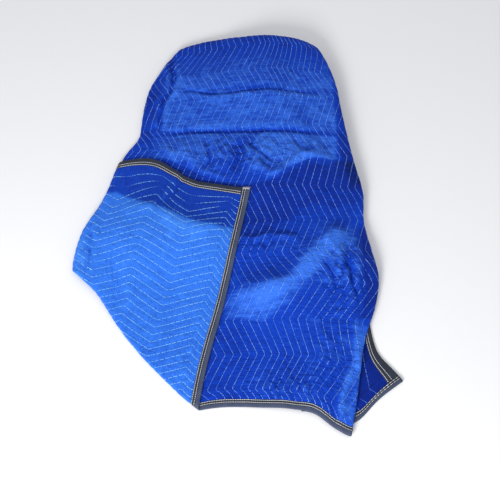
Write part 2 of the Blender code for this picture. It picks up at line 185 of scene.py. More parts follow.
def leftNormal(fold):
    direction = headingOf(fold)
    return np.array([-direction[1], direction[0]])


def swingCorner(u, v):
    beyond = np.clip(u - cornerSwing["start"] - cornerSwing["lean"] * v, 0.0, None)
    fade = 1.0 - smooth((v - cornerSwing["full"]) / (cornerSwing["end"] - cornerSwing["full"]))
    rate = cornerSwing["turn"] / (cloth["width"] - cornerSwing["start"]) * fade
    return u - v * rate * beyond, v + rate * beyond ** 2 / 2


def foldPoints(u, v):
    # floor place of flat points, and how much of each layer they belong to
    u, v = swingCorner(u, v)
    x = cloth["leftEdgeX"] + u
    y = cloth["hemY"] + v
    layer = np.zeros((len(levels), len(x)))
    layer[-lowest] = 1.0
    for fold in folds.values():
        normal = leftNormal(fold)
        past = (x - fold["through"][0]) * normal[0] + (y - fold["through"][1]) * normal[1]
        taken = np.zeros(len(x))
        radius = np.full(len(x), cloth["foldRadius"])
        moved = layer.copy()
        for level, (target, rank) in fold["layers"].items():
            share = layer[level - lowest]
            taken += share
            radius += share * cloth["layerStep"] * rank
            moved[level - lowest] -= share
            moved[target - lowest] += share
        turned = (past > 0) & (taken > 0.5)
        angle = np.where(turned, np.clip(past / fold["bend"], 0.0, math.pi), 0.0)
        rest = past - math.pi * fold["bend"]
        spot = np.where(rest > 0, -rest, radius * np.sin(angle))
        shift = np.where(turned, spot - past, 0.0)
        x = x + shift * normal[0]
        y = y + shift * normal[1]
        kept = (1.0 + np.cos(angle)) / 2.0
        layer = kept * layer + (1.0 - kept) * moved
    return x, y, layer


def clipPolygon(points, origin, normal):
    kept = []
    for index, point in enumerate(points):
        following = points[(index + 1) % len(points)]
        here = float(np.dot(point - origin, normal))
        there = float(np.dot(following - origin, normal))
        if here >= 0:
            kept.append(point)
        if (here > 0) != (there > 0) and here != there:
            kept.append(point + (following - point) * here / (here - there))
    return kept


def facetsAndCuts():
    # flat pieces between the folds, where they come to lie, and the lines where cloth bends
    corners = ((0.0, 0.0), (cloth["width"], 0.0), (cloth["width"], cloth["length"]), (0.0, cloth["length"]))
    start = np.array([cloth["leftEdgeX"], cloth["hemY"]])
    found = [{"flat": [np.array(p) for p in corners], "turn": np.eye(2), "move": start, "level": 0}]
    lines = []
    for fold in folds.values():
        normal = leftNormal(fold)
        through = np.array(fold["through"])
        after = []
        for facet in found:
            if facet["level"] not in fold["layers"]:
                after.append(facet)
                continue
            target = fold["layers"][facet["level"]][0]
            arc = math.pi * fold["bend"]
            flatNormal = facet["turn"].T @ normal
            flatStart = facet["turn"].T @ (through - facet["move"])
            beyond = clipPolygon(facet["flat"], flatStart + arc * flatNormal, flatNormal)
            stays = clipPolygon(facet["flat"], flatStart, -flatNormal)
            if len(clipPolygon(facet["flat"], flatStart, flatNormal)) > 2:
                for step in range(fold["steps"] + 1):
                    cutAt = flatStart + step / fold["steps"] * arc * flatNormal
                    lines.append((facet["flat"], cutAt, flatNormal))
            if len(stays) > 2:
                after.append({**facet, "flat": stays})
            if len(beyond) > 2:
                mirror = np.eye(2) - 2.0 * np.outer(normal, normal)
                move = mirror @ (facet["move"] - through) + through + arc * normal
                after.append({"flat": beyond, "turn": mirror @ facet["turn"], "move": move,
                              "level": target})
        found = after
    for facet in found:
        facet["floor"] = [facet["turn"] @ point + facet["move"] for point in facet["flat"]]
    return found, lines


facets, foldLines = facetsAndCuts()


def outsideOf(x, y, level):
    # distance outside a layer's nearest piece, negative inside it
    least = np.full(len(x), 10.0)
    for facet in facets:
        if facet["level"] != level:
            continue
        corners = facet["floor"]
        centre = sum(corners) / len(corners)
        outside = np.full(len(x), -10.0)
        for index, corner in enumerate(corners):
            edge = corners[(index + 1) % len(corners)] - corner
            size = math.hypot(edge[0], edge[1])
            if size < 1e-6:
                continue
            normal = np.array([edge[1], -edge[0]]) / size
            if np.dot(centre - corner, normal) > 0:
                normal = -normal
            outside = np.maximum(outside, (x - corner[0]) * normal[0] + (y - corner[1]) * normal[1])
        least = np.minimum(least, outside)
    return least


def ridgeHeight(x, y):
    total = np.zeros(len(x))
    for ridge in ridges.values():
        start = np.array(ridge["start"])
        run = np.array(ridge["end"]) - start
        share = ((x - start[0]) * run[0] + (y - start[1]) * run[1]) / np.dot(run, run)
        share = np.clip(share, 0.0, 1.0)
        away = np.hypot(x - start[0] - share * run[0], y - start[1] - share * run[1])
        total += ridge["height"] * (1.0 - smooth(away / (2.0 * ridge["width"])))
    return total


def settle(x, y):
    corner, right, left, top = (folds[name] for name in
                                ("front corner over", "right side under", "left side under", "top under"))
    toRight = right["through"][0] - x
    rightPush = along(y, outline["rightSide"]) * smooth(1.0 - toRight / outline["rightReach"])
    side = leftNormal(left)
    toLeft = -((x - left["through"][0]) * side[0] + (y - left["through"][1]) * side[1])
    leftPush = along(y, outline["leftSide"]) * smooth(1.0 - toLeft / outline["leftReach"])
    hemPush = along(x, outline["hemLine"]) * smooth(1.0 - (y - cloth["hemY"]) / outline["hemReach"])
    front = leftNormal(corner)
    line = headingOf(corner)
    across = -((x - corner["through"][0]) * front[0] + (y - corner["through"][1]) * front[1])
    far = (x - corner["through"][0]) * line[0] + (y - corner["through"][1]) * line[1]
    frontPush = along(far, outline["frontCrease"]) * smooth(1.0 - across / outline["creaseReach"])
    x = x + rightPush - leftPush + frontPush * front[0]
    y = y - hemPush + frontPush * front[1]
    pullX = np.zeros(len(x))
    pullY = np.zeros(len(x))
    for pull in pulls.values():
        share = 1.0 - smooth(np.hypot(x - pull["x"], y - pull["y"]) / pull["reach"])
        pullX += pull["alongX"] * share
        pullY += pull["alongY"] * share
    x = x + pullX
    y = y + pullY
    size = outline["cornerRound"]
    topY = top["through"][1]
    topRightX = right["through"][0] + outline["rightSide"][-1][1]
    for sign, sideX in ((1.0, topRightX), (-1.0, outline["topLeftX"])):
        a = np.clip((sign * (x - sideX) + size) / size, 0.0, outline["cornerLimit"])
        b = np.clip((y - topY + size) / size, 0.0, outline["cornerLimit"])
        x = x - sign * size * a * (1.0 - np.sqrt(1.0 - outline["cornerCut"] * b * b))
        y = y - size * b * (1.0 - np.sqrt(1.0 - outline["cornerCut"] * a * a))
    return x, y


# creases and small folds, where they lie on the settled blanket; a negative height is a trough
topCreases = {
    "left side trough": {"width": 0.008, "height": -0.024,
        "path": ((-0.281, 0.815), (-0.287, 0.696), (-0.313, 0.591), (-0.341, 0.462))},
    "left side roll": {"width": 0.014, "height": 0.013,
        "path": ((-0.300, 0.800), (-0.306, 0.670), (-0.334, 0.565), (-0.356, 0.470))},
    "left side inner roll": {"width": 0.013, "height": 0.008,
        "path": ((-0.262, 0.800), (-0.265, 0.696), (-0.290, 0.591), (-0.318, 0.470))},
    "first crease": {"stray": 0.2, "width": 0.006, "height": -0.013,
        "path": ((-0.262, 0.645), (-0.203, 0.637), (-0.129, 0.619), (0.0, 0.619), (0.184, 0.610), (0.270,
                                                                                                   0.605))},
    "first crease lip": {"stray": 0.2, "width": 0.013, "height": 0.004,
        "path": ((-0.240, 0.625), (-0.129, 0.600), (0.0, 0.600), (0.184, 0.591), (0.262, 0.586))},
    "first crease twin": {"stray": 0.2, "width": 0.005, "height": -0.007,
        "path": ((-0.160, 0.637), (-0.037, 0.634), (0.148, 0.626))},
    "second crease": {"stray": 0.2, "width": 0.007, "height": -0.018,
        "path": ((-0.345, 0.460), (-0.137, 0.459), (0.072, 0.446), (0.275, 0.433))},
    "second crease lip": {"stray": 0.2, "width": 0.015, "height": 0.005,
        "path": ((-0.330, 0.482), (-0.137, 0.481), (0.072, 0.468), (0.262, 0.456))},
    "right lobe": {"width": 0.017, "height": 0.016,
        "path": ((0.315, 0.351), (0.235, 0.333), (0.178, 0.326), (0.102, 0.280), (0.063, 0.262),
                 (0.028, 0.290), (-0.007, 0.334))},
    "left lobe": {"width": 0.016, "height": 0.010,
        "path": ((-0.063, 0.262), (-0.120, 0.274), (-0.166, 0.297), (-0.213, 0.334), (-0.264, 0.364),
                 (-0.330, 0.410))},
    "between the lobes": {"width": 0.015, "height": -0.020,
        "path": ((-0.044, 0.270), (-0.036, 0.343), (-0.043, 0.415))},
    "bunch trough": {"width": 0.010, "height": -0.014,
        "path": ((-0.010, 0.410), (0.030, 0.370), (0.070, 0.318))},
    "bunch trough right": {"width": 0.009, "height": -0.010,
        "path": ((0.150, 0.425), (0.170, 0.385), (0.205, 0.345))},
    "bunch roll right": {"width": 0.010, "height": 0.008,
        "path": ((0.215, 0.415), (0.235, 0.380), (0.262, 0.350))},
    "bunch trough left": {"width": 0.009, "height": -0.011,
        "path": ((-0.170, 0.430), (-0.150, 0.380), (-0.130, 0.310))},
    "bunch roll left": {"width": 0.010, "height": 0.008,
        "path": ((-0.255, 0.430), (-0.235, 0.395), (-0.215, 0.345))},
    "seat lip": {"width": 0.012, "height": 0.010,
        "path": ((-0.060, 0.027), (0.041, 0.039), (0.120, 0.030), (0.180, 0.012))},
    "seat lip trough": {"width": 0.012, "height": -0.007,
        "path": ((-0.050, 0.052), (0.069, 0.062), (0.175, 0.040))},
    "seat wrinkle": {"width": 0.007, "height": 0.004,
        "path": ((-0.051, -0.023), (0.027, 0.000), (0.109, -0.004))},
    "seat wrinkle low": {"width": 0.007, "height": 0.003,
        "path": ((-0.020, -0.040), (0.040, -0.018), (0.090, -0.026))},
    "pale band": {"width": 0.036, "height": 0.014,
        "path": ((-0.070, -0.180), (0.040, -0.158), (0.134, -0.125), (0.203, -0.046), (0.273, 0.039),
                 (0.320, 0.075))},
    "slope above the band": {"width": 0.045, "height": -0.009,
        "path": ((-0.060, -0.095), (0.070, -0.080), (0.150, -0.025))},
    "streak left": {"width": 0.009, "height": 0.008,
        "path": ((0.290, 0.010), (0.308, -0.069), (0.325, -0.154), (0.335, -0.235))},
    "streak trough": {"width": 0.007, "height": -0.010,
        "path": ((0.313, 0.030), (0.330, -0.069), (0.344, -0.154), (0.352, -0.224), (0.348, -0.300))},
    "streak right": {"width": 0.008, "height": 0.008,
        "path": ((0.341, 0.040), (0.356, -0.069), (0.360, -0.150), (0.362, -0.215))},
    "bulge edge": {"width": 0.006, "height": -0.007,
        "path": ((0.371, 0.000), (0.378, -0.099), (0.372, -0.206), (0.362, -0.262))},
    "small roll high": {"width": 0.010, "height": 0.006, "path": ((0.250, 0.045), (0.272, -0.008))},
    "small roll middle": {"width": 0.010, "height": 0.008,
        "path": ((0.274, -0.040), (0.288, -0.099), (0.307, -0.150))},
    "small trough middle": {"width": 0.008, "height": -0.006,
        "path": ((0.255, -0.050), (0.268, -0.110), (0.287, -0.170))},
    "front edge roll": {"width": 0.015, "height": 0.013,
        "path": ((0.343, -0.270), (0.345, -0.373), (0.328, -0.445), (0.290, -0.515), (0.278, -0.564),
                 (0.284, -0.625))},
    "front edge trough": {"width": 0.010, "height": -0.008,
        "path": ((0.290, -0.440), (0.258, -0.505), (0.250, -0.564), (0.262, -0.625))},
    "front line": {"width": 0.010, "height": -0.005,
        "path": ((0.243, -0.260), (0.278, -0.366), (0.303, -0.441))},
    "front chevron high": {"width": 0.008, "height": 0.006,
        "path": ((0.225, -0.318), (0.268, -0.345), (0.290, -0.385), (0.272, -0.425))},
    "front chevron low": {"width": 0.008, "height": 0.006,
        "path": ((0.205, -0.400), (0.245, -0.428), (0.272, -0.475), (0.262, -0.520))},
    "front chevron trough": {"width": 0.006, "height": -0.005,
        "path": ((0.240, -0.352), (0.266, -0.385), (0.250, -0.425))},
    "front line far": {"width": 0.009, "height": 0.004,
        "path": ((0.215, -0.245), (0.250, -0.350), (0.270, -0.430))},
    "cross crease high": {"width": 0.004, "height": -0.004, "path": ((0.318, -0.362), (0.356, -0.374))},
    "cross crease low": {"width": 0.004, "height": -0.004, "path": ((0.312, -0.425), (0.350, -0.450))},
    "cross crease end": {"width": 0.004, "height": -0.004, "path": ((0.255, -0.585), (0.300, -0.592))},
    "hem pucker left": {"width": 0.009, "height": 0.004, "path": ((0.020, -0.505), (0.075, -0.478))},
    "hem pucker middle": {"width": 0.009, "height": 0.005, "path": ((0.080, -0.512), (0.135, -0.478))},
    "hem pucker right": {"width": 0.009, "height": 0.004, "path": ((0.130, -0.520), (0.185, -0.500))},
    "front shallow": {"width": 0.030, "height": -0.004,
        "path": ((-0.070, -0.420), (0.050, -0.390), (0.200, -0.420))},
}
flapCreases = {
    "crest": {"width": 0.030, "height": 0.010,
        "path": ((-0.440, 0.135), (-0.364, 0.140), (-0.294, 0.112), (-0.206, 0.066), (-0.034, 0.040))},
    "soft dip": {"width": 0.020, "height": -0.004,
        "path": ((-0.476, 0.020), (-0.443, -0.140), (-0.452, -0.240))},
    "soft rise": {"width": 0.022, "height": 0.004,
        "path": ((-0.436, 0.040), (-0.405, -0.120), (-0.410, -0.240))},
    "notch": {"width": 0.008, "height": -0.008,
        "path": ((-0.232, 0.285), (-0.250, 0.226), (-0.276, 0.170))},
    "notch roll": {"width": 0.014, "height": 0.006,
        "path": ((-0.258, 0.295), (-0.276, 0.226), (-0.304, 0.165))},
    "side roll": {"width": 0.010, "height": 0.006,
        "path": ((-0.520, 0.110), (-0.530, 0.000), (-0.534, -0.110))},
    "side edge": {"width": 0.009, "height": -0.016,
        "path": ((-0.536, 0.110), (-0.546, 0.000), (-0.550, -0.110))},
    "low dip": {"width": 0.030, "height": -0.003,
        "path": ((-0.330, -0.040), (-0.260, -0.200), (-0.250, -0.330))},
}

# gathered patches: where the cloth is crumpled between its rows
puckers = {
    "bunch": {"x": -0.02, "y": 0.350, "reachX": 0.38, "reachY": 0.115, "height": 0.0032},
    "hem": {"x": 0.10, "y": -0.490, "reachX": 0.18, "reachY": 0.065, "height": 0.0024},
    "right": {"x": 0.31, "y": -0.120, "reachX": 0.10, "reachY": 0.24, "height": 0.0026},
    "seat front": {"x": 0.05, "y": 0.010, "reachX": 0.17, "reachY": 0.060, "height": 0.0020},
    "front right": {"x": 0.25, "y": -0.420, "reachX": 0.14, "reachY": 0.24, "height": 0.0018},
}

# where the top layer is crumpled and stands a little off the one beneath
crumpled = (
    {"x": -0.02, "y": 0.355, "reachX": 0.42, "reachY": 0.16, "more": 1.0},
    {"x": 0.30, "y": -0.130, "reachX": 0.14, "reachY": 0.30, "more": 0.9},
    {"x": 0.12, "y": -0.490, "reachX": 0.24, "reachY": 0.11, "more": 0.8},
    {"x": 0.30, "y": -0.480, "reachX": 0.14, "reachY": 0.25, "more": 0.7},
    {"x": 0.04, "y": 0.020, "reachX": 0.22, "reachY": 0.11, "more": 0.7},
    {"x": 0.00, "y": 0.600, "reachX": 0.36, "reachY": 0.07, "more": 0.5},
    {"x": -0.30, "y": 0.600, "reachX": 0.08, "reachY": 0.30, "more": 0.6},
)

fieldGrid = {"lowX": -0.66, "lowY": -0.74, "step": 0.003, "countX": 420, "countY": 560,
             "taper": 0.18, "wobble": 0.25, "unevenCloth": 0.0005}


def curvePoints(path, perSpan=6):
    points = [np.array(point) for point in path]
    points = [2 * points[0] - points[1]] + points + [2 * points[-1] - points[-2]]
    found = []
    for a, b, c, d in zip(points, points[1:], points[2:], points[3:]):
        for step in range(perSpan):
            t = step / perSpan
            found.append(0.5 * (2 * b + (c - a) * t + (2 * a - 5 * b + 4 * c - d) * t ** 2
                                + (3 * b - a - 3 * c + d) * t ** 3))
    found.append(points[-2])
    return found


def creaseField(creases, patches):
    # height of every crease and pucker on a fine grid over the blanket
    xs = fieldGrid["lowX"] + fieldGrid["step"] * np.arange(fieldGrid["countX"])
    ys = fieldGrid["lowY"] + fieldGrid["step"] * np.arange(fieldGrid["countY"])
    x, y = np.meshgrid(xs, ys)
    strayX = 0.006 * np.sin(31 * y + 3 * np.sin(17 * x)) + 0.003 * np.sin(83 * y + 1.7)
    strayY = 0.006 * np.sin(27 * x + 2 * np.sin(19 * y)) + 0.003 * np.sin(71 * x + 0.6)
    total = np.zeros(x.shape)
    for crease in creases.values():
        points = curvePoints(crease["path"])
        bendX = x + crease.get("stray", 1.0) * strayX
        bendY = y + crease.get("stray", 1.0) * strayY
        best = np.full(x.shape, 10.0)
        place = np.zeros(x.shape)
        for index, (a, b) in enumerate(zip(points, points[1:])):
            run = b - a
            share = ((bendX - a[0]) * run[0] + (bendY - a[1]) * run[1]) / np.dot(run, run)
            share = np.clip(share, 0.0, 1.0)
            away = np.hypot(bendX - a[0] - share * run[0], bendY - a[1] - share * run[1])
            nearer = away < best
            best = np.where(nearer, away, best)
            place = np.where(nearer, (index + share) / (len(points) - 1), place)
        taper = smooth(place / fieldGrid["taper"]) * smooth((1.0 - place) / fieldGrid["taper"])
        wobble = 1.0 + fieldGrid["wobble"] * np.sin(23 * place + 40 * crease["width"])
        total += crease["height"] * taper * wobble * np.exp(-(best / crease["width"]) ** 2)
    bendX = x + strayX
    bendY = y + strayY
    for patch in patches.values():
        away = np.hypot((x - patch["x"]) / patch["reachX"], (y - patch["y"]) / patch["reachY"])
        crumple = np.sin(190 * bendX + 4 * np.sin(37 * y)) + 0.8 * np.sin(150 * bendX - 120 * bendY + 2.0)
        crumple += 0.7 * np.sin(90 * bendX + 170 * bendY + 5.0 * np.sin(21 * x))
        total += patch["height"] * (1.0 - smooth(away)) * crumple
    uneven = np.sin(75 * bendX + 44 * bendY) + np.sin(-58 * bendX + 81 * bendY + 1.3)
    total += fieldGrid["unevenCloth"] * uneven
    return total


def sampled(field, x, y):
    atX = np.clip((x - fieldGrid["lowX"]) / fieldGrid["step"], 0, fieldGrid["countX"] - 1.001)
    atY = np.clip((y - fieldGrid["lowY"]) / fieldGrid["step"], 0, fieldGrid["countY"] - 1.001)
    column = atX.astype(int)
    row = atY.astype(int)
    partX = atX - column
    partY = atY - row
    low = field[row, column] * (1 - partX) + field[row, column + 1] * partX
    high = field[row + 1, column] * (1 - partX) + field[row + 1, column + 1] * partX
    return low * (1 - partY) + high * partY


topField = creaseField(topCreases, puckers)
flapField = creaseField(flapCreases, {})
print("creases laid out")


def underFlap(x, y):
    return smooth(-outsideOf(x, y, 1) / cloth["flapSettle"])


def crumpleOf(x, y):
    total = np.zeros(len(x))
    for spot in crumpled:
        away = np.hypot((x - spot["x"]) / spot["reachX"], (y - spot["y"]) / spot["reachY"])
        total = np.maximum(total, spot["more"] * (1.0 - smooth(away)))
    return total


def keptAbove(height, room):
    # a trough goes no deeper than the room above the layer beneath
    return np.where(height < 0, -room * np.tanh(-height / room), height)


def middleOf(u, v):
    x, y, layer = foldPoints(u, v)
    height = np.zeros(len(x))
    base = np.full(len(x), cloth["floorGap"])
    raised = np.zeros(len(x))
    covered = underFlap(x, y)
    for index, level in enumerate(levels):
        height += layer[index] * (base + (cloth["flapGap"] if level == 1 else 0.0))
        share = lift.get(level, 0.0)
        if level == 0:
            share = share - cloth["flapLoft"] * covered
        raised += layer[index] * share
        edge = outsideOf(x, y, level) - cloth["edgeHold"]
        base = base + cloth["layerStep"] * (1.0 - smooth(edge / cloth["edgeFade"]))
    ridge = ridgeHeight(x, y)
    height += raised * ridge
    besideFlap = 1.0 - smooth((cloth["besideFlap"][0] - outsideOf(x, y, 1)) / cloth["besideFlap"][1])
    x, y = settle(x, y)
    loft = cloth["crumpleLoft"] * crumpleOf(x, y)
    top = loft + keptAbove(sampled(topField, x, y), cloth["room"] + loft + cloth["ridgeRoom"] * ridge)
    height += layer[-lowest] * besideFlap * top
    flapRoom = cloth["room"] + cloth["flapRoom"] + cloth["flapRidgeRoom"] * ridge
    height += layer[1 - lowest] * keptAbove(sampled(flapField, x, y), flapRoom)
    return np.stack([x, y, height], axis=1)


def placeOn(u, v, w, reach=0.0025):
    # points at w off the middle of the cloth, w towards its face, and the direction of w
    centre = middleOf(u, v)
    across = middleOf(u + reach, v) - middleOf(u - reach, v)
    up = middleOf(u, v + reach) - middleOf(u, v - reach)
    normal = np.cross(across, up)
    normal /= np.linalg.norm(normal, axis=1)[:, None]
    return centre + w[:, None] * normal - np.array(cloth["middle"]), normal


def zigzag(v):
    wave = (v - quilting["phase"]) / quilting["halfWave"]
    step = np.floor(wave)
    rise = wave - step
    return quilting["reach"] * np.where(step % 2 == 0, 2 * rise - 1, 1 - 2 * rise)


def zigzagShare(u, v):
    fromSide = np.minimum(u - cloth["bandSeat"], cloth["width"] - cloth["bandSeat"] - u)
    fromEnd = np.minimum(v - cloth["bandSeat"], cloth["length"] - cloth["bandSeat"] - v)
    return np.clip(fromSide / quilting["straighten"], 0,
                   1) * np.clip(fromEnd / quilting["straightenEnds"], 0, 1)


def pressed(u, v):
    # where other layers lie on the cloth
    x, y, layer = foldPoints(u, v)
    below = layer[:-lowest].sum(axis=0) > 0.5
    corner = (u > cloth["backCorner"]) & (v < cornerSwing["full"])
    covered = (layer[-lowest] > 0.5) & (outsideOf(x, y, 1) < -cloth["coveredFrom"])
    return (below & ~corner) | covered


def halfThickness(u, v, row):
    fromEdge = np.minimum(np.minimum(u, cloth["width"] - u), np.minimum(v, cloth["length"] - v))
    across = np.abs(2.0 * (row - np.floor(row)) - 1.0)
    puff = 1.0 - across ** cloth["puffShape"]
    lively = 0.85 + 0.15 * np.sin(41 * v + 2.4 * np.floor(row)) + 0.10 * np.sin(17 * u + 29 * v)
    half = cloth["stitchHalf"] + (cloth["puffHalf"] - cloth["stitchHalf"]) * puff * lively
    half = np.where(pressed(u, v), cloth["pressedHalf"] + cloth["pressedPuff"] * puff, half)
    return np.where(fromEdge <= cloth["bandSeat"] + 1e-6, cloth["edgeHalf"], half)


def rowCount():
    return round((cloth["width"] - 2 * cloth["bandSeat"]) / quilting["pitch"])


rowPitch = (cloth["width"] - 2 * cloth["bandSeat"]) / rowCount()


def gridColumns():
    found = [0.0, 0.5 * cloth["bandSeat"]]
    for row in range(rowCount()):
        fine = any(row in span for span in quilting["fineRows"])
        shares = quilting["fineColumns"] if fine else quilting["columns"]
        found += [cloth["bandSeat"] + rowPitch * (row + share) for share in shares]
    return found + [cloth["width"] - cloth["bandSeat"], cloth["width"] - 0.5 * cloth["bandSeat"],
                    cloth["width"]]


def gridRows():
    step = quilting["halfWave"] / quilting["linesPerHalfWave"]
    found = [0.0, 0.5 * cloth["bandSeat"], cloth["bandSeat"]]
    first = math.ceil((cloth["bandSeat"] + 0.4 * step - quilting["phase"]) / step)
    last = round((quilting["seenLength"] - quilting["phase"]) / step)
    for count in range(first, last + 1):
        line = quilting["phase"] + step * count
        found.append(line)
        if any(low < line < high for low, high in quilting["fineLines"]):
            found.append(line + 0.5 * step)
    end = cloth["length"] - cloth["bandSeat"]
    hidden = round((end - found[-1]) / quilting["hiddenStep"])
    start = found[-1]
    found += [start + (end - start) * count / hidden for count in range(1, hidden)]
    return found + [end, cloth["length"]]


cutting = {"reach": 0.08, "inset": 0.02, "merge": 0.0005}


def cutAtFolds(shape):
    # cuts a flat shape along the lines where its cloth bends
    for polygon, origin, normal in foldLines:
        centre = sum(polygon) / len(polygon)
        faces = list(shape.faces)
        spots = np.array([face.calc_center_median()[:2] for face in faces])
        spots = spots + (centre - spots) * cutting["inset"]
        held = np.abs((spots - origin) @ normal) < cutting["reach"]
        for index, corner in enumerate(polygon):
            edge = polygon[(index + 1) % len(polygon)] - corner
            towards = np.array([-edge[1], edge[0]])
            if np.dot(centre - corner, towards) < 0:
                towards = -towards
            held &= (spots - corner) @ towards >= -cutting["inset"] * np.linalg.norm(towards)
        inside = [face for face, inIt in zip(faces, held) if inIt]
        edges = {edge for face in inside for edge in face.edges}
        verts = {vert for face in inside for vert in face.verts}
        bmesh.ops.bisect_plane(shape, geom=inside + list(edges) + list(verts), dist=cutting["merge"],
                               plane_co=(*origin, 0.0), plane_no=(*normal, 0.0))


def addPiece(name, points, faces, materials, shade=True):
    mesh = bpy.data.meshes.new(name)
    mesh.from_pydata(points.tolist(), [], faces)
    mesh.update()
    for one in materials:
        mesh.materials.append(one)
    if shade:
        mesh.shade_smooth()
    piece = bpy.data.objects.new(name, mesh)
    bpy.context.scene.collection.objects.link(piece)
    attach(piece, "root")
    return piece


def addAttribute(mesh, name, kind, values):
    made = mesh.attributes.new(name, kind, "POINT")
    part = "vector" if kind == "FLOAT_VECTOR" else "value"
    made.data.foreach_set(part, values.astype(np.float32).ravel())


# materials

def newMaterial(name):
    made = bpy.data.materials.new(name)
    made.use_nodes = True
    return made, made.node_tree, made.node_tree.nodes["Principled BSDF"]


def maths(tree, operation, first, second=None):
    node = tree.nodes.new("ShaderNodeMath")
    node.operation = operation
    for index, value in enumerate((first, second)):
        if value is None:
            continue
        if isinstance(value, (int, float)):
            node.inputs[index].default_value = value
        else:
            tree.links.new(value, node.inputs[index])
    return node.outputs[0]


def spread(tree, value, fromLow, fromHigh, toLow, toHigh):
    node = tree.nodes.new("ShaderNodeMapRange")
    node.interpolation_type = "SMOOTHSTEP"
    tree.links.new(value, node.inputs["Value"])
    node.inputs["From Min"].default_value = fromLow
    node.inputs["From Max"].default_value = fromHigh
    node.inputs["To Min"].default_value = toLow
    node.inputs["To Max"].default_value = toHigh
    return node.outputs["Result"]


def mixed(tree, factor, first, second):
    node = tree.nodes.new("ShaderNodeMix")
    node.data_type = "RGBA"
    sockets = [node.inputs[0], node.inputs[6], node.inputs[7]]     # factor, first and second colour
    for socket, value in zip(sockets, (factor, first, second)):
        if isinstance(value, tuple):
            socket.default_value = (*value, 1.0)
        else:
            tree.links.new(value, socket)
    return node.outputs[2]


def noise(tree, vector, scale, detail=3.0, roughness=0.55):
    node = tree.nodes.new("ShaderNodeTexNoise")
    tree.links.new(vector, node.inputs["Vector"])
    node.inputs["Scale"].default_value = scale
    node.inputs["Detail"].default_value = detail
    node.inputs["Roughness"].default_value = roughness
    return node.outputs["Fac"]


def attribute(tree, name, output):
    node = tree.nodes.new("ShaderNodeAttribute")
    node.attribute_name = name
    return node.outputs[output]


def addBump(tree, shader, height, strength, distance):
    bump = tree.nodes.new("ShaderNodeBump")
    bump.inputs["Strength"].default_value = strength
    bump.inputs["Distance"].default_value = distance
    tree.links.new(height, bump.inputs["Height"])
    tree.links.new(bump.outputs["Normal"], shader.inputs["Normal"])


def weighted(tree, parts):
    # the sum of each value times its share
    total = None
    for value, share in parts:
        part = maths(tree, "MULTIPLY", value, share)
        total = part if total is None else maths(tree, "ADD", total, part)
    return total


def weaveHeight(tree, flat, threadPitch):
    # one thread over, one under: high where both waves agree
    parts = tree.nodes.new("ShaderNodeSeparateXYZ")
    tree.links.new(flat, parts.inputs[0])
    turn = 2 * math.pi / threadPitch
    across = maths(tree, "SINE", maths(tree, "MULTIPLY", parts.outputs[0], turn))
    up = maths(tree, "SINE", maths(tree, "MULTIPLY", parts.outputs[1], turn))
    return maths(tree, "MULTIPLY", across, up)


# both sides of the cloth: how far each unevenness moves the tone, and how high its creases are
clothDetail = {
    "blotches": 1.0,
    "worn": 0.9,
    "speckle": 0.9,
    "puckers": 1.3,
    "smallCrease": 0.28,
    "largeCrease": 1.1,
    "pulledCrease": 0.50,
    "weaveRise": 0.025,
    "bump": 0.0085,
    # painted shade: the colour deepens in the sewn rows below, standing in for their shadow
    "paintedGrooveShade": 0.35,           # how much deeper the colour is in the sewn rows
    "puckerAcross": 0.45,
    "puckerUp": 88.0,
}
# colours for both sides: shade is painted shade, used where the painted shading goes below deep; deep takes painted
# shade in troughs, shaded bands and sewn rows as well as the darker random tone; pale takes painted highlight on
# crests and lit bands as well as the paler random tone
faceCloth = {
    "shade": (0.0015, 0.0090, 0.095),
    "deep": (0.0015, 0.0210, 0.275),
    "plain": (0.0025, 0.0440, 0.470),
    "pale": (0.0380, 0.1700, 0.800),
    "roughness": 0.78,
    "sheen": 0.03,
    "sheenTint": (0.35, 0.55, 1.0, 1.0),
    "weave": 0.0011,
    "uneven": 1.0,
    "darkest": -1.0,
}
reverseCloth = {
    "shade": (0.0020, 0.0200, 0.220),
    "deep": (0.0040, 0.0440, 0.430),
    "plain": (0.0320, 0.1780, 0.790),
    "pale": (0.0700, 0.2800, 0.930),
    "roughness": 0.80,
    "sheen": 0.03,
    "sheenTint": (0.40, 0.62, 1.0, 1.0),
    "weave": 0.0011,
    "uneven": 0.85,
    "darkest": -0.12,
}


def sharpened(tree, value):
    # turns soft noise into thin raised lines, like the creases of crumpled cloth
    away = maths(tree, "ABSOLUTE", maths(tree, "SUBTRACT", value, 0.5))
    return maths(tree, "SUBTRACT", 1.0, maths(tree, "MINIMUM", maths(tree, "MULTIPLY", away, 5.0), 1.0))


def puckerPlace(tree, flat, row):
    # places for the small pull folds that stand across the sewn rows
    parts = tree.nodes.new("ShaderNodeSeparateXYZ")
    tree.links.new(flat, parts.inputs[0])
    joined = tree.nodes.new("ShaderNodeCombineXYZ")
    tree.links.new(maths(tree, "MULTIPLY", row, clothDetail["puckerAcross"]), joined.inputs[0])
    tree.links.new(maths(tree, "MULTIPLY", parts.outputs[1], clothDetail["puckerUp"]), joined.inputs[1])
    tree.links.new(parts.outputs[2], joined.inputs[2])
    return joined.outputs[0]


